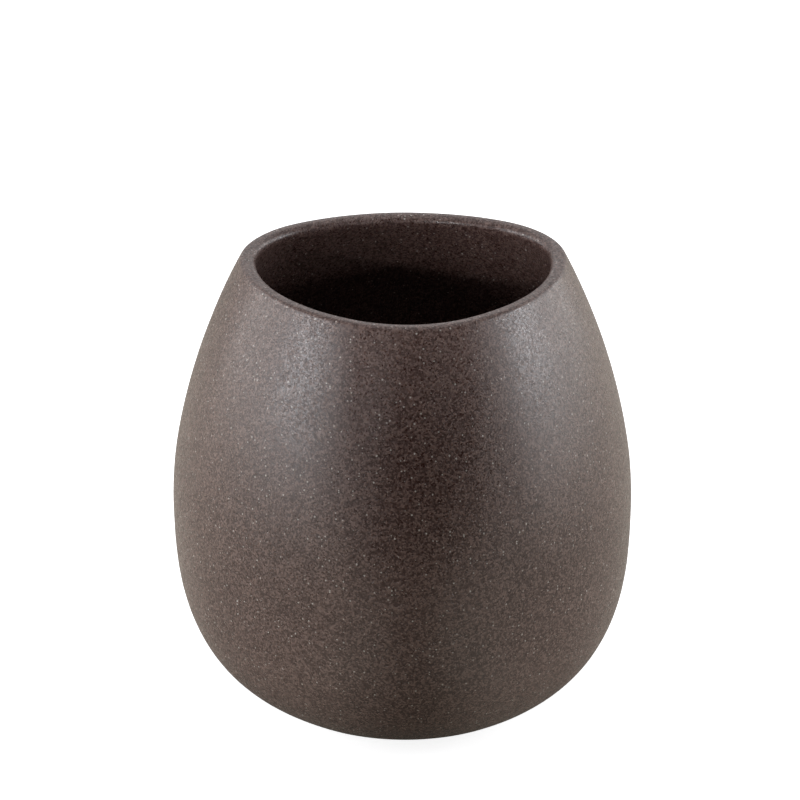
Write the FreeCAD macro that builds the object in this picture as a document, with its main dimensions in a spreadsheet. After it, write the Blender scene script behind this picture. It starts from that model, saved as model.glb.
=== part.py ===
import FreeCAD, Part
import Sketcher
import math
import os

# Bathroom tumbler cast in one piece from stone-filled resin, standing on a soft pad.
# The frame is +Z up in millimetres. The origin is on the axis, on the surface that the pad rests on.
# Every level section of the cup is a soft triangle of constant width with one corner towards -Y.

SHEET = "Sizes"

# Each row is a size's name, its value and what it measures.
SIZES = [
    ("cup_height", 97.0, "cast cup, from its foot to the top of its rim"),
    ("belly_radius", 50.0, "half the width of the widest section"),
    ("belly_height", 43.0, "height of the widest section above the foot"),
    ("rim_radius", 34.4, "half the width of the rim outside, before its edges are rounded"),
    ("foot_radius", 28.0, "half the width of the flat foot"),
    ("belly_shift", 18.0, "distance of the three arc centres from the axis at the belly"),
    ("rim_shift", 11.5, "distance of the three arc centres from the axis at the rim"),
    ("foot_shift", 4.0, "distance of the three arc centres from the axis at the foot"),
    ("lower_fullness", 3.1, "exponent of the wall's curve below the belly, 2 being an ellipse"),
    ("upper_fullness", 1.58, "exponent of the wall's curve above the belly"),
    ("wall_thickness", 4.0, "level thickness of the wall at the rim and the belly"),
    ("floor_thickness", 7.0, "foot plane to the floor inside"),
    ("floor_radius", 27.0, "half the width of the flat floor inside"),
    ("lip_outer_round", 1.5, "rounding of the rim's outer edge"),
    ("lip_inner_round", 1.2, "rounding of the rim's inner edge"),
    ("foot_land", 3.6, "width of the flat ring of the foot round the pad's recess"),
    ("recess_depth", 1.2, "depth of the pad's recess in the foot"),
    ("pad_thickness", 1.8, "thickness of the foam pad"),
    ("pad_clearance", 0.4, "gap round the pad in its recess"),
    ("film_thickness", 0.2, "thickness of the adhesive film above the pad"),
]

# The rounding of a lip edge is limited to these shares of the wall, so that a thin lip keeps a flat top.
OUTER_ROUND_LIMIT = 0.4
INNER_ROUND_LIMIT = 0.35

# Fractions of the way from the belly to an end at which the wall's level sections lie.
SECTION_FRACTIONS = [math.sin(math.radians(degrees)) for degrees in (22.5, 45, 67.5, 90)]

# A soft triangle has six arcs: three corners and, opposite each, a side about the same centre.
# A corner's radius is the section's radius less this share of the shift, and a side's is as much more.
ARCS = 6
ARC_SPAN = 360 / ARCS
FRONT_CORNER = -90.0
RADIUS_PER_SHIFT = math.sqrt(3) / 2

# A sketch numbers a curve's points from 1, and its own origin and vertical axis downwards from -1.
START_POINT, END_POINT, CENTRE_POINT = range(1, 4)
ORIGIN_GEOMETRY, VERTICAL_AXIS = range(-1, -3, -1)

# Heights that differ by less than this are level.
LEVEL = 0.001


def size(name):
    """The expression that reads one driving size."""
    return f"{SHEET}.{name}"


RECESS_RADIUS = f"({size('foot_radius')} - {size('foot_land')})"


def make_sheet(doc):
    """Puts the driving sizes in a spreadsheet: name, value under an alias, and note."""
    sheet = doc.addObject("Spreadsheet::Sheet", SHEET)
    for row, (name, value, note) in enumerate(SIZES, start=1):
        sheet.set(f"A{row}", name)
        sheet.set(f"B{row}", str(value))
        sheet.setAlias(f"B{row}", name)
        sheet.set(f"C{row}", note)
    doc.recompute()


def make_body(doc, label, rise):
    """A body named after its piece, lifted to its place by the expression in rise."""
    body = doc.addObject("PartDesign::Body", label)
    body.Label = label
    body.setExpression("Placement.Base.z", rise)
    return body


def level_sketch(body, name, height):
    """A sketch in a level plane of the body, at the height that an expression gives."""
    planes = body.Origin.OriginFeatures
    ground = next(plane for plane in planes if plane.Role == "XY_Plane")
    sketch = body.newObject("Sketcher::SketchObject", name)
    sketch.AttachmentSupport = (ground, [""])
    sketch.MapMode = "FlatFace"
    sketch.setExpression("AttachmentOffset.Base.z", height)
    return sketch


def drive(sketch, name, expression, *constraint):
    """Adds a dimension to a sketch and binds it to an expression."""
    index = sketch.addConstraint(Sketcher.Constraint(*constraint))
    sketch.renameConstraint(index, name)
    sketch.setExpression(f"Constraints.{name}", expression)


def triangle_arcs():
    """Each arc of a soft triangle: its number, the way it faces, and its centre and radius per unit shift."""
    for arc in range(ARCS):
        facing = FRONT_CORNER + ARC_SPAN * arc
        is_corner = arc % 2 == 0
        toward = math.radians(facing if is_corner else facing + 180)
        growth = -RADIUS_PER_SHIFT if is_corner else RADIUS_PER_SHIFT
        yield arc, facing, math.cos(toward), math.sin(toward), growth


def soft_triangle(body, name, height, radius, shift):
    """A section of constant width: corners and sides are tangent arcs about three centres."""
    start_radius = 40.0
    start_shift = 10.0
    up = FreeCAD.Vector(0, 0, 1)
    sketch = level_sketch(body, name, height)
    for arc, facing, across, along, growth in triangle_arcs():
        centre = FreeCAD.Vector(across, along, 0) * start_shift
        circle = Part.Circle(centre, up, start_radius + growth * start_shift)
        first = math.radians(facing - ARC_SPAN / 2)
        last = math.radians(facing + ARC_SPAN / 2)
        sketch.addGeometry(Part.ArcOfCircle(circle, first, last), False)
    for arc, facing, across, along, growth in triangle_arcs():
        following = (arc + 1) % ARCS
        sketch.addConstraint(Sketcher.Constraint("Coincident", arc, END_POINT, following, START_POINT))
        # The first arc's radius sizes the ring and the last one's closes it; the joints size the rest.
        if arc in (0, ARCS - 1):
            drive(sketch, f"radius_{arc}", f"({radius}) + ({growth}) * ({shift})",
                  "Radius", arc, start_radius + growth * start_shift)
        if arc == ARCS - 1:
            continue
        sketch.addConstraint(Sketcher.Constraint("Angle", arc, math.radians(ARC_SPAN)))
        drive(sketch, f"centre_{arc}_y", f"({shift}) * ({along})",
              "DistanceY", ORIGIN_GEOMETRY, START_POINT, arc, CENTRE_POINT, start_shift * along)
        if facing % 180 == 90:
            sketch.addConstraint(Sketcher.Constraint("PointOnObject", arc, CENTRE_POINT, VERTICAL_AXIS))
        else:
            drive(sketch, f"centre_{arc}_x", f"({shift}) * ({across})",
                  "DistanceX", ORIGIN_GEOMETRY, START_POINT, arc, CENTRE_POINT, start_shift * across)
    sketch.addConstraint(Sketcher.Constraint("Horizontal", 0, START_POINT, 0, END_POINT))
    return sketch


def wall_sections(body, name, inset, low_height, low_radius, low_shift):
    """Sections of an egg-shaped wall from its low end to the rim, set in from the outside by inset.

    Below and above the belly the radius follows a super-ellipse from the widest section to the end.
    """
    belly = f"({size('belly_radius')} - ({inset}))"
    rim = f"({size('rim_radius')} - ({inset}))"
    belly_height = size("belly_height")
    belly_shift = size("belly_shift")
    lower = (size("lower_fullness"), low_height, low_radius, low_shift)
    upper = (size("upper_fullness"), size("cup_height"), rim, size("rim_shift"))
    levels = [(fraction, lower) for fraction in reversed(SECTION_FRACTIONS)]
    levels += [(fraction, upper) for fraction in [0.0] + SECTION_FRACTIONS]
    sections = []
    for number, (fraction, (power, end_height, end_radius, end_shift)) in enumerate(levels):
        reach = f"(1 - (({end_radius}) / {belly})^{power})^(1 / {power})"
        radius = f"{belly} * (1 - ({fraction} * {reach})^{power})^(1 / {power})"
        height = f"{belly_height} + {fraction} * (({end_height}) - {belly_height})"
        shift = f"{belly_shift} + {fraction ** 2} * (({end_shift}) - {belly_shift})"
        sections.append(soft_triangle(body, f"{name}_section_{number}", height, radius, shift))
    return sections


def loft(body, kind, name, sections):
    """A smooth skin through level sections, added to the body or cut from it."""
    feature = body.newObject(kind, name)
    feature.Profile = sections[0]
    feature.Sections = sections[1:]
    body.Document.recompute()
    return feature


def round_edges(body, base, name, edges, radius):
    """Rounds the named edges of the base feature to the radius that an expression gives."""
    feature = body.newObject("PartDesign::Fillet", name)
    feature.Base = (base, edges)
    feature.setExpression("Radius", radius)
    body.Document.recompute()
    return feature


def lip_edges(feature, height):
    """Names of the edges round the outside and round the mouth of the rim's level top."""
    shape = feature.Shape

    def is_level(face):
        return abs(face.BoundBox.ZMin - height) < LEVEL and abs(face.BoundBox.ZMax - height) < LEVEL

    def names(wire):
        return [f"Edge{number}" for number, edge in enumerate(shape.Edges, start=1)
                if any(edge.isSame(other) for other in wire.Edges)]

    top = next(face for face in shape.Faces if is_level(face))
    outside = top.OuterWire
    mouth = next(wire for wire in top.Wires if not wire.isSame(outside))
    return names(outside), names(mouth)


def disc_sketch(body, name, radius):
    """A circle about the axis in the body's ground plane."""
    start_radius = 20.0
    sketch = level_sketch(body, name, "0")
    circle = Part.Circle(FreeCAD.Vector(0, 0, 0), FreeCAD.Vector(0, 0, 1), start_radius)
    sketch.addGeometry(circle, False)
    sketch.addConstraint(Sketcher.Constraint("Coincident", 0, CENTRE_POINT, ORIGIN_GEOMETRY, START_POINT))
    drive(sketch, "radius", radius, "Radius", 0, start_radius)
    return sketch


def make_cup(doc):
    """The cast cup: egg-shaped outside, a hollow that follows it, rounded lip, recess under the foot."""
    pad_stack = f"{size('pad_thickness')} + {size('film_thickness')}"
    body = make_body(doc, "cast_cup", f"{pad_stack} - {size('recess_depth')}")
    outside = wall_sections(body, "outside", "0", "0", size("foot_radius"), size("foot_shift"))
    mass = loft(body, "PartDesign::AdditiveLoft", "cup_mass", outside)
    inside = wall_sections(body, "inside", size("wall_thickness"), size("floor_thickness"),
                           size("floor_radius"), size("foot_shift"))
    hollow = loft(body, "PartDesign::SubtractiveLoft", "cup_hollow", inside)
    rim_height = doc.getObject(SHEET).cup_height
    wall = size("wall_thickness")
    outer_edges, _ = lip_edges(hollow, rim_height)
    outer_round = f"min({size('lip_outer_round')}; {OUTER_ROUND_LIMIT} * {wall})"
    lip = round_edges(body, hollow, "outer_lip", outer_edges, outer_round)
    _, mouth_edges = lip_edges(lip, rim_height)
    inner_round = f"min({size('lip_inner_round')}; {INNER_ROUND_LIMIT} * {wall})"
    cast = round_edges(body, lip, "inner_lip", mouth_edges, inner_round)
    recess = body.newObject("PartDesign::Pocket", "pad_recess")
    recess.Profile = disc_sketch(body, "pad_recess_outline", RECESS_RADIUS)
    recess.Reversed = True
    recess.setExpression("Length", size("recess_depth"))
    doc.recompute()
    for before, after in ((mass, hollow), (cast, recess)):
        if after.Shape.Volume >= before.Shape.Volume:
            raise RuntimeError(f"{after.Label} cuts nothing from the cup")
    return body


def make_disc(doc, label, rise, thickness):
    """A round sheet that fits the recess, lying level at the height that rise gives."""
    body = make_body(doc, label, rise)
    sheet = body.newObject("PartDesign::Pad", f"{label}_sheet")
    sheet.Profile = disc_sketch(body, f"{label}_outline", f"{RECESS_RADIUS} - {size('pad_clearance')}")
    sheet.setExpression("Length", thickness)
    doc.recompute()
    return body


def check_document(doc, bodies):
    """Stops if any object failed or any piece isn't one sound solid."""
    for item in doc.Objects:
        if "Invalid" in item.State or "Error" in item.State:
            raise RuntimeError(f"{item.Label} failed: {item.State}")
    for body in bodies:
        shape = body.Shape
        if shape.isNull() or not shape.isValid() or len(shape.Solids) != 1:
            raise RuntimeError(f"{body.Label} isn't one sound solid")


def main():
    """Builds the tumbler and writes one file for each piece."""
    doc = FreeCAD.newDocument("Tumbler")
    make_sheet(doc)
    pad = make_disc(doc, "base_pad", "0", size("pad_thickness"))
    film = make_disc(doc, "pad_adhesive", size("pad_thickness"), size("film_thickness"))
    bodies = [make_cup(doc), film, pad]
    doc.recompute()
    check_document(doc, bodies)
    os.makedirs("parts", exist_ok=True)
    for body in bodies:
        body.Shape.exportStep(f"parts/{body.Label}.step")
        box = body.Shape.BoundBox
        print(f"{body.Label}: {body.Shape.Volume:.1f} mm3, "
              f"{box.XLength:.2f} x {box.YLength:.2f} x {box.ZLength:.2f} mm, from z {box.ZMin:.2f}")


main()
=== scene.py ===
"""Dresses the cast stone bathroom tumbler and stands it on a pale studio floor."""
import math

import bmesh
import bpy
from bpy.props import FloatProperty, FloatVectorProperty, IntProperty, PointerProperty
from mathutils import Matrix, Vector


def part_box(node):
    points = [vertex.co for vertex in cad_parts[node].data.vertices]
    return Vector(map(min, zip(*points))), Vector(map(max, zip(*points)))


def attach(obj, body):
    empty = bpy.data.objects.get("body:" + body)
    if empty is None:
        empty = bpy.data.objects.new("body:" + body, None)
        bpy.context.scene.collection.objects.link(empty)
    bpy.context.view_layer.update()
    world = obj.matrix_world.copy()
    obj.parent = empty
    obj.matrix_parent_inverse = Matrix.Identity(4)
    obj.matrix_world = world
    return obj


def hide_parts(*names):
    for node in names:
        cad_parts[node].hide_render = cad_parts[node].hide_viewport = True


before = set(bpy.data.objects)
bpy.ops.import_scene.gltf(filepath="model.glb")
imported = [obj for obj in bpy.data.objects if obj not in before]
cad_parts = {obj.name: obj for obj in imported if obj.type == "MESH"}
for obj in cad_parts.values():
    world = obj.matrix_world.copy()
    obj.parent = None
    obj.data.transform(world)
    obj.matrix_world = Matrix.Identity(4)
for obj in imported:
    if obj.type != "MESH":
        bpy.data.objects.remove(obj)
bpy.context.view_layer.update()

bl_info = {
    "name": "Cast Stone Tumbler",
    "version": (1, 0, 0),
    "blender": (4, 5, 0),
    "location": "View3D > Sidebar > Tumbler",
    "description": "Models a three-cornered cast stone tumbler with its foam pad and a studio stage",
    "category": "Add Mesh",
}

CUP_LOW, CUP_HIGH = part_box("cast_cup")
PAD_LOW, PAD_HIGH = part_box("base_pad")
FILM_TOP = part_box("pad_adhesive")[1].z
BODY = "root"

# A soft triangle has six arcs: three corners and, opposite each, a side about the same centre.
# A corner's radius is the section's radius less this share of the shift, and a side's is as much more.
ARCS = 6
ARC_SPAN = math.tau / ARCS
FRONT_CORNER = -math.pi / 2
RADIUS_PER_SHIFT = math.sqrt(3) / 2

# Rings across the roof of the recess and the floor of the hollow, as shares of their radius.
RECESS_RINGS = (0.4, 0.8)
FLOOR_RINGS = (0.97, 0.75, 0.4)
CUP_SMOOTHING = 2
PAD_EDGE_STEPS = 4
PAD_SMOOTH_ANGLE = math.radians(35)

# The range of a share, a chance or a factor.
UNIT = (0.0, 1.0)
WHITE = (1.0, 1.0, 1.0)

# Numbered sockets of a colour mix node: its factor and its two colours, and the colour that it gives.
MIX_INPUTS = (0, 6, 7)
MIX_OUTPUT = 2

# Stone: the stretch of the grain that runs from dark to light, the stretch of the clouds and how far they
# shift the grain, a speck's radius as a share of its cell, and how far a speck covers the powder.
GRAIN_STRETCH = (0.15, 0.85)
GRAIN_ROUGHNESS = 0.65
CLOUD_STRETCH = (0.3, 0.7)
CLOUD_SHIFT = (-0.08, 0.08)
SPECK_RADIUS = (0.10, 0.28)
SPECK_COVER = (0.35, 0.9)

# Foam: where a cell's wall rises, from its middle outwards, how pale the walls get, and their height
# as a share of a cell.
FOAM_WALL = (0.35, 0.75)
FOAM_TONE = (0.5, 1.0)
FOAM_ROUGHNESS = (0.78, 0.95)
FOAM_RELIEF = 1 / 3
FOAM_BUMP = 0.8

# Film: its streaks are drawn out along Y, their tones set the roughness, and their height is a share
# of their width.
FILM_STRETCH = (1.0, 0.12, 1.0)
FILM_TONES = (0.3, 0.7)
FILM_ROUGHNESS = (0.32, 0.5)
FILM_RELIEF = 1 / 100
FILM_BUMP = 0.5

# Studio floor: the size of its faint fibres, in metres, and their shade.
FIBRE_SIZE = 0.004
FIBRE_SHADE = 0.97

# Surrounding light by direction: Y runs from -1 in front to 1 behind, and Z is 1 overhead. The sweep
# behind fades in over its depth, gains its full light over its rise from the horizon, and then ends.
# The patch overhead fades in near the top.
SWEEP_DEPTH = (-0.1, 0.7)
SWEEP_RISE = (0.0, 0.3)
SWEEP_END = (0.6, 0.85)
OVERHEAD_RISE = (0.75, 0.92)

# A key lamp stands at this share of the softboxes' distance.
KEY_NEARNESS = 0.95


def length(name, description, default):
    """A length in metres."""
    return FloatProperty(name=name, description=description, default=default, unit="LENGTH", precision=5)


def number(name, description, default):
    """A plain number."""
    return FloatProperty(name=name, description=description, default=default, precision=4)


def share(name, description, default):
    """A number from 0 to 1."""
    return FloatProperty(name=name, description=description, default=default,
                         subtype="FACTOR", min=0, max=1)


def turn(name, description, degrees):
    """An angle, given in degrees."""
    return FloatProperty(name=name, description=description, default=math.radians(degrees),
                         subtype="ANGLE")


def watts(name, description, default):
    """The power of a lamp."""
    return FloatProperty(name=name, description=description, default=default, unit="POWER")


def colour(name, description, default):
    """A linear colour."""
    return FloatVectorProperty(name=name, description=description, default=default,
                               subtype="COLOR", min=0, max=1)


def point(name, description, default):
    """A place in metres."""
    return FloatVectorProperty(name=name, description=description, default=default,
                               subtype="XYZ", unit="LENGTH", precision=5)


def count(name, description, default):
    """A whole number."""
    return IntProperty(name=name, description=description, default=default)


class CupSizes(bpy.types.PropertyGroup):
    """Sizes of the cast cup. Heights are above its foot."""
    height: length("Height", "Foot to the top of the rim", CUP_HIGH.z - CUP_LOW.z)
    belly_radius: length("Belly radius", "Half the width of the widest section",
                         (CUP_HIGH.y - CUP_LOW.y) / 2)
    belly_height: length("Belly height", "Height of the widest section", 0.043)
    rim_radius: length("Rim radius", "Half the width of the rim before it is rounded", 0.0344)
    foot_radius: length("Foot radius", "Half the width of the flat foot", 0.028)
    belly_shift: length("Belly shift", "Distance of the arc centres from the axis at the belly", 0.018)
    rim_shift: length("Rim shift", "Distance of the arc centres from the axis at the rim", 0.0115)
    foot_shift: length("Foot shift", "Distance of the arc centres from the axis at the foot", 0.004)
    lower_fullness: number("Lower fullness", "Exponent of the wall's curve below the belly", 3.1)
    upper_fullness: number("Upper fullness", "Exponent of the wall's curve above the belly", 1.58)
    wall: length("Wall", "Level thickness of the wall", 0.004)
    floor_height: length("Floor height", "Foot plane to the floor inside", 0.007)
    floor_radius: length("Floor radius", "Half the width of the flat floor inside", 0.027)
    outer_round: length("Outer rounding", "Rounding of the rim's outer edge", 0.0010)
    inner_round: length("Inner rounding", "Rounding of the rim's inner edge", 0.0015)
    recess_radius: length("Recess radius", "Radius of the recess for the pad", 0.0244)
    recess_depth: length("Recess depth", "Depth of the recess", FILM_TOP - CUP_LOW.z)
    crease: length("Edge easing", "Width over which a crisp edge is eased", 0.0003)
    unevenness: length("Unevenness", "How far the casting strays from its true form", 0.0002)
    uneven_size: length("Unevenness size", "Distance between the waves of the casting", 0.02)
    sides: count("Sides", "Columns of faces before smoothing", 48)
    wall_rings: count("Wall rings", "Rings from the belly to either end", 14)
    round_rings: count("Rounding rings", "Steps in a rounded edge", 5)


class StoneFinish(bpy.types.PropertyGroup):
    """Colours and grain of the cast stone."""
    dark: colour("Dark grain", "Darkest of the stone powder", (0.040, 0.0155, 0.0120))
    light: colour("Light grain", "Lightest of the stone powder", (0.186, 0.121, 0.105))
    speck: colour("Speck", "Pale mineral specks", (0.50, 0.46, 0.43))
    grain: length("Grain size", "Width of one grain", 0.00034)
    contrast: number("Contrast", "Exponent that leaves few grains pale", 1.6)
    softness: share("Softness", "Share of soft noise in the crisp grain", 0.35)
    relief: length("Relief", "Height of the grain", 0.00005)
    cloud: length("Cloud size", "Width of the faint cloudy patches", 0.028)
    speck_gap: length("Speck spacing", "Width of the cells that may hold a speck", 0.0007)
    speck_share: share("Speck share", "Share of the cells that hold a speck", 0.22)
    roughness: share("Roughness", "Roughness of the sanded surface", 0.38)
    gloss: share("Gloss", "Strength of the satin gloss", 0.62)
    gloss_spread: share("Gloss spread", "How far grains differ in roughness", 0.12)


class PadFinish(bpy.types.PropertyGroup):
    """The foam pad and the film that holds it."""
    foam: colour("Foam", "Closed-cell foam", (0.030, 0.030, 0.032))
    foam_light: colour("Foam highlights", "Walls of the foam's cells", (0.060, 0.059, 0.060))
    cell: length("Cell size", "Width of one cell of the foam", 0.0004)
    ease: length("Edge easing", "Rounding of the pad's cut edge", 0.0004)
    film: colour("Film", "Adhesive film", (0.72, 0.70, 0.62))
    film_dark: colour("Film shade", "Thin places of the film", (0.58, 0.55, 0.46))
    streak: length("Streak size", "Width of the film's streaks", 0.0015)


class StageSettings(bpy.types.PropertyGroup):
    """Camera, lamps, floor and surrounding light."""
    elevation: turn("Elevation", "Camera above the horizon", 22.85)
    azimuth: turn("Azimuth", "Camera to the right of the front", -2.5)
    distance: length("Distance", "Camera to the point it looks at", 0.8)
    aim: point("Aim", "Point that the camera looks at", (-0.0009, 0.0, 0.0669))
    focal_length: number("Focal length", "Lens in millimetres on a 36 mm sensor", 168.1)
    lamp_distance: length("Lamp distance", "Softboxes to the tumbler", 0.8)
    lamp_width: length("Lamp width", "Width of a softbox", 1.0)
    lamp_height: length("Lamp height", "Height of a softbox", 0.5)
    lamp_elevation: turn("Lamp elevation", "Softboxes above the horizon", 13)
    left_azimuth: turn("Left lamp", "Left softbox from the front", -95)
    right_azimuth: turn("Right lamp", "Right softbox from the front", 105)
    left_power: watts("Left power", "Left softbox", 3.9)
    right_power: watts("Right power", "Right softbox", 3.6)
    key_size: length("Key size", "Width and height of a key lamp in front of a softbox", 0.26)
    key_elevation: turn("Key elevation", "Key lamps above the horizon", 15)
    left_key: turn("Left key", "Left key lamp from the front", -79)
    right_key: turn("Right key", "Right key lamp from the front", 91)
    key_power: watts("Key power", "Each key lamp", 1.1)
    key_colour: colour("Key colour", "Slightly cool light of the key lamps", (0.87, 0.93, 1.0))
    fill_width: length("Fill width", "Width of the fill lamp low in front", 0.7)
    fill_height: length("Fill height", "Height of the fill lamp", 0.28)
    fill_turn: turn("Fill", "Fill lamp from the front", -50)
    fill_elevation: turn("Fill elevation", "Fill lamp above the horizon", 10)
    fill_power: watts("Fill power", "Fill lamp", 0.35)
    mouth_aim: point("Mouth aim", "Point over the mouth's back that the left narrow lamp looks at",
                     (0.015, 0.026, 0.106))
    mouth_turn: turn("Mouth lamp", "Left narrow lamp from the front, which the right one mirrors", -25)
    mouth_elevation: turn("Mouth lamp elevation", "Narrow lamps above the horizon", 12)
    mouth_cone: turn("Mouth lamp cone", "Opening of a narrow lamp", 3.9)
    mouth_radius: length("Mouth lamp radius", "Radius of a narrow lamp, which softens its shadow", 0.03)
    mouth_power: watts("Left mouth lamp", "Narrow lamp from the left", 14.0)
    mouth_counter: watts("Right mouth lamp", "Weaker narrow lamp from the right", 5.0)
    front_light: number("Front light", "Light of the room in front", 0.0)
    back_light: number("Back light", "White sweep behind, low down", 0.95)
    horizon: number("Horizon", "Share of the back light at the horizon", 0.6)
    top_light: number("Top light", "Soft patch overhead", 1.05)
    floor_size: length("Floor size", "Width of the floor", 8.0)
    floor_gap: length("Floor gap", "Hair's breadth between the pad and the floor", 0.00005)
    floor: colour("Floor", "Pale floor", (0.80, 0.80, 0.80))
    floor_bounce: colour("Floor bounce", "The floor beside the tumbler, as it sees it", (0.64, 0.61, 0.53))
    floor_front: colour("Floor in front", "The shaded floor before the tumbler, as it sees it",
                        (0.10, 0.095, 0.08))
    front_start: length("Front start", "Where the shaded floor starts, in front of the axis", 0.17)
    front_spread: number("Front spread", "How fast the shaded floor widens towards the front", 1.0)
    front_fade: length("Front fade", "Width over which the shaded floor fades out", 0.06)
    floor_lift: number("Floor lift", "Light that the floor adds to the tumbler's underside", 0.14)
    foot_lift: number("Foot lift", "The same light of the floor just in front of the foot", 1.6)
    foot_ahead: length("Foot lift place", "Middle of that light, in front of the axis", 0.075)
    foot_reach: length("Foot lift reach", "Where that light has faded, from its middle", 0.075)
    floor_glow: number("Floor glow", "Whiteness of the floor to the camera", 0.86)


def deselect_all():
    """Leaves edit mode and selects nothing."""
    if bpy.context.mode != "OBJECT":
        bpy.ops.object.mode_set(mode="OBJECT")
    bpy.ops.object.select_all(action="DESELECT")


def new_nodes(name):
    """An empty material and its node tree."""
    material = bpy.data.materials.new(name)
    material.use_nodes = True
    material.node_tree.nodes.clear()
    return material, material.node_tree


def add_node(tree, kind, **settings):
    """A node with its settings made."""
    node = tree.nodes.new(kind)
    for key, value in settings.items():
        setattr(node, key, value)
    return node


def set_input(tree, socket, source):
    """Links an input to another node's output, or gives it a value."""
    if isinstance(source, bpy.types.NodeSocket):
        tree.links.new(source, socket)
    elif socket.type == "RGBA":
        socket.default_value = (*source, 1.0)
    else:
        socket.default_value = source


def feed(tree, node, **sources):
    """Gives a node's inputs their values or links. An underscore in a key stands for a space."""
    for key, source in sources.items():
        set_input(tree, node.inputs[key.replace("_", " ")], source)
    return node


def feed_in_order(tree, node, *sources):
    """Gives a node's first inputs their values or links."""
    for socket, source in zip(node.inputs, sources):
        set_input(tree, socket, source)
    return node


def calculate(tree, operation, first, second):
    """The result of an operation on two values."""
    node = add_node(tree, "ShaderNodeMath", operation=operation)
    return feed_in_order(tree, node, first, second).outputs[0]


def spread(tree, value, source=UNIT, target=UNIT):
    """A value eased from one range to another."""
    node = add_node(tree, "ShaderNodeMapRange", interpolation_type="SMOOTHSTEP")
    feed(tree, node, Value=value, From_Min=source[0], From_Max=source[1],
         To_Min=target[0], To_Max=target[1])
    return node.outputs["Result"]


def blend_colours(tree, factor, first, second):
    """Two colours mixed by a factor."""
    node = add_node(tree, "ShaderNodeMix", data_type="RGBA")
    for index, source in zip(MIX_INPUTS, (factor, first, second)):
        set_input(tree, node.inputs[index], source)
    return node.outputs[MIX_OUTPUT]


def noise(tree, place, size, detail=2.0, rough=0.5):
    """Cloudy noise whose patches have about the given size."""
    node = add_node(tree, "ShaderNodeTexNoise")
    feed(tree, node, Vector=place, Scale=1 / size, Detail=detail, Roughness=rough)
    return node.outputs[0]


def cells(tree, place, size):
    """Cells of about the given size: distance from the middle, and two chance values for each cell."""
    node = add_node(tree, "ShaderNodeTexVoronoi")
    feed(tree, node, Vector=place, Scale=1 / size)
    split = feed(tree, add_node(tree, "ShaderNodeSeparateColor"), Color=node.outputs["Color"])
    return node.outputs["Distance"], split.outputs[0], split.outputs[1]


def bump(tree, height, distance, strength=1.0):
    """Surface normals that follow a height."""
    node = add_node(tree, "ShaderNodeBump")
    return feed(tree, node, Height=height, Distance=distance, Strength=strength).outputs[0]


def object_place(tree):
    """The place on the object itself."""
    return add_node(tree, "ShaderNodeTexCoord").outputs["Object"]


def add_shaders(tree, first, second):
    """Two shaders added up."""
    node = add_node(tree, "ShaderNodeAddShader")
    return feed_in_order(tree, node, first.outputs[0], second.outputs[0])


def camera_sees(tree):
    """One for rays from the camera, also through something clear, and nought for all other rays."""
    rays = add_node(tree, "ShaderNodeLightPath")
    return calculate(tree, "MAXIMUM", rays.outputs["Is Camera Ray"], rays.outputs["Is Transmission Ray"])


def surface(tree, shader):
    """Makes a shader the surface of its material."""
    output = add_node(tree, "ShaderNodeOutputMaterial")
    feed(tree, output, Surface=shader.outputs[0])


def stone_specks(tree, place, finish):
    """How far a pale speck covers the powder at a place."""
    distance, chance, tone = cells(tree, place, finish.speck_gap)
    chosen = calculate(tree, "LESS_THAN", chance, finish.speck_share)
    inside = calculate(tree, "LESS_THAN", distance, spread(tree, tone, UNIT, SPECK_RADIUS))
    speck = calculate(tree, "MULTIPLY", chosen, inside)
    return calculate(tree, "MULTIPLY", speck, spread(tree, tone, UNIT, SPECK_COVER))


def stone_material(finish):
    """Sanded cast stone: fine mottled grain, faint clouds, scattered pale specks, satin gloss."""
    material, tree = new_nodes("sanded_cast_stone")
    place = object_place(tree)
    _, grain_chance, gloss_chance = cells(tree, place, finish.grain)
    fine = noise(tree, place, finish.grain, detail=3.0, rough=GRAIN_ROUGHNESS)
    mix = add_node(tree, "ShaderNodeMix", data_type="FLOAT")
    grain = feed(tree, mix, Factor=finish.softness, A=grain_chance, B=fine).outputs["Result"]
    mottle = calculate(tree, "POWER", spread(tree, grain, GRAIN_STRETCH), finish.contrast)
    cloud = spread(tree, noise(tree, place, finish.cloud), CLOUD_STRETCH, CLOUD_SHIFT)
    powder = blend_colours(tree, calculate(tree, "ADD", mottle, cloud), finish.dark, finish.light)
    whole = blend_colours(tree, stone_specks(tree, place, finish), powder, finish.speck)
    roughness_range = (finish.roughness - finish.gloss_spread, finish.roughness + finish.gloss_spread)
    shader = add_node(tree, "ShaderNodeBsdfPrincipled")
    feed(tree, shader, Base_Color=whole, Roughness=spread(tree, gloss_chance, UNIT, roughness_range),
         Normal=bump(tree, grain, finish.relief), Specular_IOR_Level=finish.gloss)
    surface(tree, shader)
    return material


def foam_material(finish):
    """Dark closed-cell foam: fine bubbles with paler walls."""
    material, tree = new_nodes("closed_cell_foam")
    distance, chance, _ = cells(tree, object_place(tree), finish.cell)
    walls = spread(tree, distance, FOAM_WALL)
    tone = calculate(tree, "MULTIPLY", walls, spread(tree, chance, UNIT, FOAM_TONE))
    shader = add_node(tree, "ShaderNodeBsdfPrincipled")
    feed(tree, shader, Base_Color=blend_colours(tree, tone, finish.foam, finish.foam_light),
         Roughness=spread(tree, chance, UNIT, FOAM_ROUGHNESS),
         Normal=bump(tree, walls, finish.cell * FOAM_RELIEF, FOAM_BUMP))
    surface(tree, shader)
    return material


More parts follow.
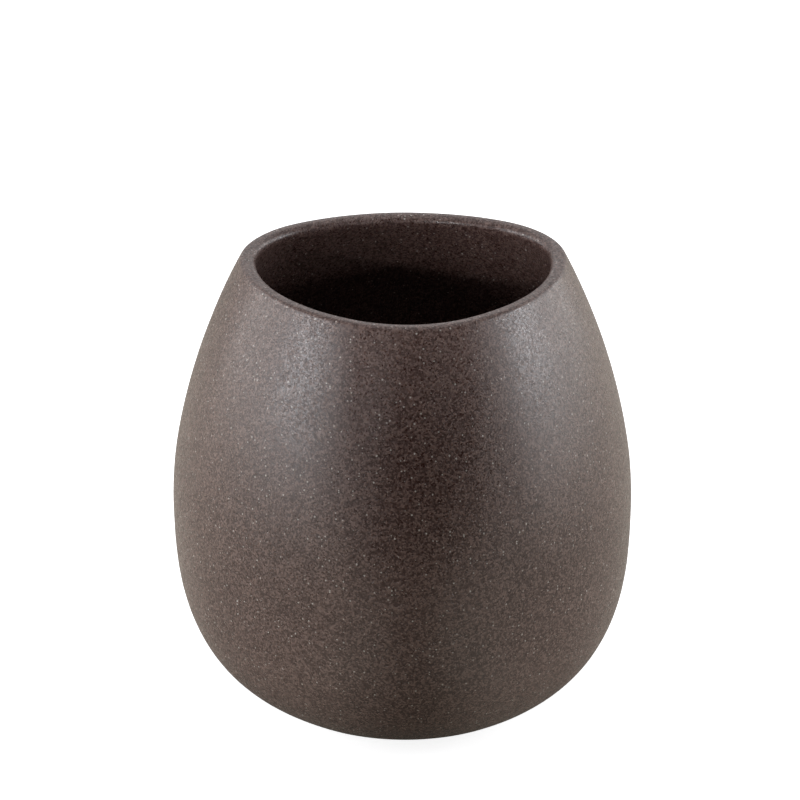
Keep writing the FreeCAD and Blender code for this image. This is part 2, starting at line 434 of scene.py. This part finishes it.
def film_material(finish):
    """Pale adhesive film with faint streaks from its coating."""
    material, tree = new_nodes("adhesive_film")
    stretch = add_node(tree, "ShaderNodeMapping")
    feed(tree, stretch, Vector=object_place(tree), Scale=FILM_STRETCH)
    streaks = noise(tree, stretch.outputs[0], finish.streak, detail=4.0)
    shader = add_node(tree, "ShaderNodeBsdfPrincipled")
    feed(tree, shader, Base_Color=blend_colours(tree, streaks, finish.film_dark, finish.film),
         Roughness=spread(tree, streaks, FILM_TONES, FILM_ROUGHNESS),
         Normal=bump(tree, streaks, finish.streak * FILM_RELIEF, FILM_BUMP))
    surface(tree, shader)
    return material


def floor_to_tumbler(tree, place, stage):
    """The floor as the tumbler sees it: shaded in a widening patch in front, and lit before the foot."""
    split = feed(tree, add_node(tree, "ShaderNodeSeparateXYZ"), Vector=place)
    aside = calculate(tree, "ABSOLUTE", split.outputs["X"], 0.0)
    past = calculate(tree, "MINIMUM", calculate(tree, "ADD", split.outputs["Y"], stage.front_start), 0.0)
    ahead = calculate(tree, "MULTIPLY", past, stage.front_spread)
    beside = spread(tree, calculate(tree, "ADD", aside, ahead), (0.0, stage.front_fade))
    bounce = blend_colours(tree, beside, stage.floor_front, stage.floor_bounce)
    plain = feed(tree, add_node(tree, "ShaderNodeBsdfDiffuse"), Color=bounce)
    away = add_node(tree, "ShaderNodeVectorMath", operation="DISTANCE")
    feed_in_order(tree, away, place, (0.0, -stage.foot_ahead, 0.0))
    strength = spread(tree, away.outputs["Value"], (0.0, stage.foot_reach),
                      (stage.foot_lift, stage.floor_lift))
    lift = feed(tree, add_node(tree, "ShaderNodeEmission"), Color=bounce, Strength=strength)
    return add_shaders(tree, plain, lift)


def floor_to_camera(tree, place, stage):
    """The floor as the camera sees it: white where no shadow falls."""
    fibre = noise(tree, place, FIBRE_SIZE, detail=3.0)
    shade = tuple(FIBRE_SHADE * part for part in stage.floor)
    tone = blend_colours(tree, fibre, shade, stage.floor)
    paint = feed(tree, add_node(tree, "ShaderNodeBsdfDiffuse"), Color=tone)
    glow = feed(tree, add_node(tree, "ShaderNodeEmission"), Color=WHITE, Strength=stage.floor_glow)
    return add_shaders(tree, paint, glow)


def floor_material(stage):
    """Pale floor that is white to the camera and duller to the tumbler."""
    material, tree = new_nodes("studio_floor")
    place = object_place(tree)
    dull = floor_to_tumbler(tree, place, stage)
    white = floor_to_camera(tree, place, stage)
    choice = add_node(tree, "ShaderNodeMixShader")
    feed_in_order(tree, choice, camera_sees(tree), dull.outputs[0], white.outputs[0])
    surface(tree, choice)
    return material


def studio_world(stage):
    """White to the camera. As light it is a white sweep low behind and a soft patch overhead."""
    world = bpy.data.worlds.new("studio_surroundings")
    world.use_nodes = True
    tree = world.node_tree
    tree.nodes.clear()
    way = add_node(tree, "ShaderNodeTexCoord").outputs["Generated"]
    split = feed(tree, add_node(tree, "ShaderNodeSeparateXYZ"), Vector=way)
    back, up = split.outputs["Y"], split.outputs["Z"]
    depth = spread(tree, back, SWEEP_DEPTH, (stage.front_light, stage.back_light))
    rise = spread(tree, up, SWEEP_RISE, (stage.horizon, 1.0))
    low = calculate(tree, "MULTIPLY", rise, spread(tree, up, SWEEP_END, (1.0, 0.0)))
    overhead = spread(tree, up, OVERHEAD_RISE, (0.0, stage.top_light))
    light = calculate(tree, "ADD", calculate(tree, "MULTIPLY", depth, low), overhead)
    background = add_node(tree, "ShaderNodeBackground")
    feed(tree, background, Color=WHITE, Strength=calculate(tree, "MAXIMUM", camera_sees(tree), light))
    feed(tree, add_node(tree, "ShaderNodeOutputWorld"), Surface=background.outputs[0])
    return world


def wall_level(cup, height, inset, low_height, low_radius):
    """Height, radius and shift of the wall's section, set in from the outside by inset."""
    belly = cup.belly_radius - inset
    if height < cup.belly_height:
        end_height, end_radius, end_shift = low_height, low_radius, cup.foot_shift
        power = cup.lower_fullness
    else:
        end_height, end_radius, end_shift = cup.height, cup.rim_radius - inset, cup.rim_shift
        power = cup.upper_fullness
    part = (height - cup.belly_height) / (end_height - cup.belly_height)
    reach = (1 - (end_radius / belly) ** power) ** (1 / power)
    radius = belly * (1 - (part * reach) ** power) ** (1 / power)
    shift = cup.belly_shift + part ** 2 * (end_shift - cup.belly_shift)
    return height, radius, shift


def wall_heights(cup, low_height, high_height):
    """Heights of the wall's rings, close together near both ends."""
    steps = cup.wall_rings
    fractions = [math.sin(step / steps * math.pi / 2) for step in range(steps + 1)]
    below = [cup.belly_height + part * (low_height - cup.belly_height) for part in reversed(fractions)]
    above = [cup.belly_height + part * (high_height - cup.belly_height) for part in fractions[1:]]
    return below + above


def rounding(corner, before, after, radius, steps):
    """Points on the arc that rounds a corner of the profile between its two neighbours."""
    to_before = (before - corner).normalized()
    to_after = (after - corner).normalized()
    half = to_before.angle(to_after) / 2
    centre = corner + (to_before + to_after).normalized() * (radius / math.sin(half))
    first = corner + to_before * (radius / math.tan(half)) - centre
    last = corner + to_after * (radius / math.tan(half)) - centre
    sweep = math.atan2(first.x * last.y - first.y * last.x, first.dot(last))
    return [centre + Matrix.Rotation(sweep * step / steps, 2) @ first for step in range(steps + 1)]


def lip_levels(cup, inset, radius):
    """Levels of the rounded edge from the wall, outer or inner, to the rim's top."""
    low = (0.0, cup.foot_radius) if inset == 0 else (cup.floor_height, cup.floor_radius)
    height, mean, shift = wall_level(cup, cup.height, inset, *low)
    below = wall_level(cup, cup.height - radius, inset, *low)
    corner = Vector((mean, height))
    top = Vector((cup.rim_radius - cup.wall / 2, height))
    points = rounding(corner, Vector((below[1], below[0])), top, radius, cup.round_rings)
    return [(place.y, place.x, shift) for place in points]


def cup_levels(cup):
    """Every ring of the cup: its recess, round the foot, up outside, over the lip and down to the floor."""
    ease = cup.crease
    deep, wide, foot = cup.recess_depth, cup.recess_radius, cup.foot_radius
    levels = [(deep, part * wide, 0.0) for part in RECESS_RINGS]
    levels += [(deep, wide - ease, 0.0), (deep, wide, 0.0), (deep - ease, wide, 0.0)]
    levels += [(ease, wide, 0.0), (0.0, wide, 0.0), (0.0, wide + ease, 0.0)]
    levels += [(0.0, (wide + foot) / 2, cup.foot_shift / 2), (0.0, foot - ease, cup.foot_shift)]
    outer_lip = lip_levels(cup, 0.0, cup.outer_round)
    inner_lip = lip_levels(cup, cup.wall, cup.inner_round)
    levels += [wall_level(cup, height, 0.0, 0.0, foot)
               for height in wall_heights(cup, 0.0, outer_lip[0][0] - ease)]
    levels += outer_lip + inner_lip[::-1]
    inner = [wall_level(cup, height, cup.wall, cup.floor_height, cup.floor_radius)
             for height in wall_heights(cup, cup.floor_height, inner_lip[0][0] - ease)]
    levels += inner[::-1]
    levels += [(cup.floor_height, part * cup.floor_radius, part * cup.foot_shift) for part in FLOOR_RINGS]
    return levels


def soft_arcs():
    """Each arc of a soft triangle: the way it faces, and its centre and radius per unit of shift."""
    for arc in range(ARCS):
        facing = FRONT_CORNER + ARC_SPAN * arc
        is_corner = arc % 2 == 0
        toward = facing if is_corner else facing + math.pi
        growth = -RADIUS_PER_SHIFT if is_corner else RADIUS_PER_SHIFT
        yield facing, Vector((math.cos(toward), math.sin(toward), 0.0)), growth


def ring_by_arc(mesh, shift):
    """The selected ring's vertices, as index lists, sorted into the six arcs that they lie on."""
    found = [[] for _ in range(ARCS)]
    arcs = list(soft_arcs())
    for vertex in bmesh.from_edit_mesh(mesh).verts:
        if not vertex.select:
            continue
        strays = []
        for facing, centre, _ in arcs:
            way = vertex.co - centre * shift
            stray = math.atan2(way.y, way.x) - facing
            strays.append(abs(math.remainder(stray, math.tau)))
        found[strays.index(min(strays))].append(vertex.index)
    return found


def select_vertices(mesh, wanted):
    """Selects only the vertices with these numbers."""
    bpy.ops.mesh.select_all(action="DESELECT")
    shape = bmesh.from_edit_mesh(mesh)
    shape.verts.ensure_lookup_table()
    for index in wanted:
        shape.verts[index].select = True
    shape.select_flush_mode()
    bmesh.update_edit_mesh(mesh)


def reshape_ring(mesh, before, after):
    """Moves the selected ring from one soft triangle to another, arc by arc."""
    _, old_radius, old_shift = before
    _, new_radius, new_shift = after
    arcs = ring_by_arc(mesh, old_shift)
    for indices, (_, centre, growth) in zip(arcs, soft_arcs()):
        select_vertices(mesh, indices)
        factor = (new_radius + growth * new_shift) / (old_radius + growth * old_shift)
        bpy.ops.transform.resize(value=(factor, factor, 1.0), center_override=centre * old_shift)
        bpy.ops.transform.translate(value=centre * (new_shift - old_shift))
    select_vertices(mesh, [index for indices in arcs for index in indices])


def add_disc(sides, radius, height):
    """A level disc about the axis, with its place in its mesh, open for editing and all selected."""
    deselect_all()
    bpy.ops.mesh.primitive_circle_add(vertices=sides, radius=radius, fill_type="NGON",
                                      location=(0, 0, height))
    bpy.ops.object.transform_apply(location=True, rotation=True, scale=True)
    bpy.ops.object.mode_set(mode="EDIT")
    bpy.context.tool_settings.mesh_select_mode = (True, False, False)
    bpy.ops.mesh.select_all(action="SELECT")
    return bpy.context.object


def close_shape():
    """Turns all faces outwards and leaves edit mode."""
    bpy.ops.mesh.select_all(action="SELECT")
    bpy.ops.mesh.normals_make_consistent(inside=False)
    bpy.ops.object.mode_set(mode="OBJECT")


def smooth_with(piece, levels):
    """Adds a subdivision surface and applies it."""
    modifier = piece.modifiers.new("smoothing", "SUBSURF")
    modifier.levels = levels
    modifier.render_levels = levels
    bpy.ops.object.modifier_apply(modifier=modifier.name)


def cast_unevenly(piece, cup):
    """Gives a casting its slight waves and applies them."""
    waves = bpy.data.textures.new("casting_waves", "CLOUDS")
    waves.noise_scale = cup.uneven_size
    uneven = piece.modifiers.new("casting_unevenness", "DISPLACE")
    uneven.texture = waves
    uneven.texture_coords = "LOCAL"
    uneven.strength = cup.unevenness
    bpy.ops.object.modifier_apply(modifier=uneven.name)


def finish_piece(piece, name, material):
    """Names a finished piece, gives it its finish and lets it ride with the body."""
    piece.name = name
    piece.data.name = name
    piece.data.materials.clear()
    piece.data.materials.append(material)
    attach(piece, BODY)


class TUMBLER_OT_cast_cup(bpy.types.Operator):
    """Models the cast stone cup, ring by ring from its foot over the lip to the floor inside"""
    bl_idname = "tumbler.cast_cup"
    bl_label = "Cast Cup"

    def execute(self, context):
        cup = context.scene.tumbler_cup
        # Smoothing leaves a point two thirds of itself and a sixth of each neighbour on its ring.
        # That draws a ring in a little, so each ring is made that much larger.
        swell = 6 / (4 + 2 * math.cos(math.tau / cup.sides))
        levels = [(height, radius * swell, shift * swell) for height, radius, shift in cup_levels(cup)]
        height, radius, _ = levels[0]
        piece = add_disc(cup.sides, radius, CUP_LOW.z + height)
        bpy.ops.mesh.delete(type="ONLY_FACE")
        bpy.ops.mesh.select_all(action="SELECT")
        for before, after in zip(levels, levels[1:]):
            rise = after[0] - before[0]
            bpy.ops.mesh.extrude_region_move(TRANSFORM_OT_translate={"value": (0.0, 0.0, rise)})
            reshape_ring(piece.data, before, after)
        # The last ring is still selected: it closes the floor, and the open first ring the recess.
        bpy.ops.mesh.edge_face_add()
        bpy.ops.mesh.select_all(action="DESELECT")
        bpy.ops.mesh.select_non_manifold()
        bpy.ops.mesh.edge_face_add()
        close_shape()
        smooth_with(piece, CUP_SMOOTHING)
        cast_unevenly(piece, cup)
        bpy.ops.object.shade_smooth()
        finish_piece(piece, "cast_stone_cup", stone_material(context.scene.tumbler_stone))
        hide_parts("cast_cup")
        return {"FINISHED"}


class TUMBLER_OT_foam_pad(bpy.types.Operator):
    """Models the die-cut foam pad that fills the recess under the foot"""
    bl_idname = "tumbler.foam_pad"
    bl_label = "Foam Pad"

    def execute(self, context):
        finish = context.scene.tumbler_pad
        sides = context.scene.tumbler_cup.sides * 2
        thickness = PAD_HIGH.z - PAD_LOW.z
        piece = add_disc(sides, (PAD_HIGH.x - PAD_LOW.x) / 2, PAD_LOW.z)
        bpy.ops.mesh.extrude_region_move(TRANSFORM_OT_translate={"value": (0.0, 0.0, thickness)})
        close_shape()
        edge = piece.modifiers.new("cut_edge", "BEVEL")
        edge.width = finish.ease
        edge.segments = PAD_EDGE_STEPS
        edge.limit_method = "ANGLE"
        bpy.ops.object.modifier_apply(modifier=edge.name)
        bpy.ops.object.shade_smooth_by_angle(angle=PAD_SMOOTH_ANGLE)
        finish_piece(piece, "foam_base_pad", foam_material(finish))
        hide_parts("base_pad")
        return {"FINISHED"}


class TUMBLER_OT_adhesive_film(bpy.types.Operator):
    """Gives the adhesive film above the pad its finish"""
    bl_idname = "tumbler.adhesive_film"
    bl_label = "Adhesive Film"

    def execute(self, context):
        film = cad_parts["pad_adhesive"]
        material = film_material(context.scene.tumbler_pad)
        for material_slot in film.material_slots:
            material_slot.material = material
        return {"FINISHED"}


def direction(azimuth, elevation):
    """Unit vector at an azimuth from the front, towards +X, and an elevation above the horizon."""
    level = math.cos(elevation)
    return Vector((math.sin(azimuth) * level, -math.cos(azimuth) * level, math.sin(elevation)))


def aim_at(item, place, target):
    """Puts a lamp or camera at a place, looking at the target."""
    item.location = place
    item.rotation_euler = (target - place).to_track_quat("-Z", "Y").to_euler()


def add_lamp(name, kind, power, place, target):
    """A lamp of a kind, looking at the target."""
    bpy.ops.object.light_add(type=kind)
    lamp = bpy.context.object
    lamp.name = name
    lamp.data.name = name
    lamp.data.energy = power
    aim_at(lamp, place, target)
    return lamp


def add_softbox(name, power, place, target, width, height):
    """A rectangular softbox that faces the target."""
    lamp = add_lamp(name, "AREA", power, place, target)
    lamp.data.shape = "RECTANGLE"
    lamp.data.size = width
    lamp.data.size_y = height
    return lamp


def add_softboxes(stage, target):
    """A broad softbox and a small cool key lamp on each side, and a weak fill lamp low in front."""
    for side, broad_turn, power, key_turn in (
            ("left", stage.left_azimuth, stage.left_power, stage.left_key),
            ("right", stage.right_azimuth, stage.right_power, stage.right_key)):
        broad = target + direction(broad_turn, stage.lamp_elevation) * stage.lamp_distance
        add_softbox(f"{side}_softbox", power, broad, target, stage.lamp_width, stage.lamp_height)
        small = target + direction(key_turn, stage.key_elevation) * stage.lamp_distance * KEY_NEARNESS
        key = add_softbox(f"{side}_key", stage.key_power, small, target, stage.key_size, stage.key_size)
        key.data.color = stage.key_colour
    low = target + direction(stage.fill_turn, stage.fill_elevation) * stage.lamp_distance
    add_softbox("front_fill", stage.fill_power, low, target, stage.fill_width, stage.fill_height)


def add_mouth_lamps(stage):
    """Two narrow lamps in front that light the inside of the mouth, each the other's mirror image."""
    across, back, up = stage.mouth_aim
    for side, mirror, power in (("left", 1, stage.mouth_power), ("right", -1, stage.mouth_counter)):
        mouth = Vector((mirror * across, back, up))
        place = mouth + direction(mirror * stage.mouth_turn, stage.mouth_elevation) * stage.lamp_distance
        narrow = add_lamp(f"{side}_mouth_lamp", "SPOT", power, place, mouth)
        narrow.data.spot_size = stage.mouth_cone
        # The light fades all the way from the middle of the cone to its edge.
        narrow.data.spot_blend = 1.0
        narrow.data.shadow_soft_size = stage.mouth_radius


class TUMBLER_OT_studio_stage(bpy.types.Operator):
    """Sets up the floor, the lamps, the surrounding light and the camera"""
    bl_idname = "tumbler.studio_stage"
    bl_label = "Studio Stage"

    def execute(self, context):
        stage = context.scene.tumbler_stage
        deselect_all()
        floor_level = PAD_LOW.z - stage.floor_gap
        bpy.ops.mesh.primitive_plane_add(size=stage.floor_size, location=(0, 0, floor_level))
        floor = context.object
        floor.name = "studio_floor"
        floor.data.materials.append(floor_material(stage))
        target = Vector(stage.aim)
        add_softboxes(stage, target)
        add_mouth_lamps(stage)
        context.scene.world = studio_world(stage)
        bpy.ops.object.camera_add()
        camera = context.object
        camera.name = "photo_camera"
        camera.data.lens = stage.focal_length
        aim_at(camera, target + direction(stage.azimuth, stage.elevation) * stage.distance, target)
        context.scene.camera = camera
        context.scene.view_settings.view_transform = "Standard"
        deselect_all()
        return {"FINISHED"}


class TUMBLER_PT_pieces(bpy.types.Panel):
    """Lists the tumbler's pieces and its stage, with their settings"""
    bl_idname = "TUMBLER_PT_pieces"
    bl_label = "Tumbler"
    bl_space_type = "VIEW_3D"
    bl_region_type = "UI"
    bl_category = "Tumbler"

    def draw(self, context):
        for operator in OPERATORS:
            self.layout.operator(operator.bl_idname)
        for name, group in GROUPS.items():
            box = self.layout.box()
            for key in group.__annotations__:
                box.prop(getattr(context.scene, name), key)


GROUPS = {
    "tumbler_cup": CupSizes,
    "tumbler_stone": StoneFinish,
    "tumbler_pad": PadFinish,
    "tumbler_stage": StageSettings,
}
OPERATORS = (TUMBLER_OT_cast_cup, TUMBLER_OT_foam_pad, TUMBLER_OT_adhesive_film, TUMBLER_OT_studio_stage)
CLASSES = (*GROUPS.values(), *OPERATORS, TUMBLER_PT_pieces)


def register():
    """Registers the classes and hangs the settings on the scene."""
    for item in CLASSES:
        bpy.utils.register_class(item)
    for name, group in GROUPS.items():
        setattr(bpy.types.Scene, name, PointerProperty(type=group))


def unregister():
    """Takes the settings off the scene and removes the classes."""
    for name in GROUPS:
        delattr(bpy.types.Scene, name)
    for item in reversed(CLASSES):
        bpy.utils.unregister_class(item)


def main():
    """Builds every piece and the stage."""
    register()
    bpy.ops.tumbler.cast_cup()
    bpy.ops.tumbler.foam_pad()
    bpy.ops.tumbler.adhesive_film()
    bpy.ops.tumbler.studio_stage()


if __name__ == "__main__":
    main()
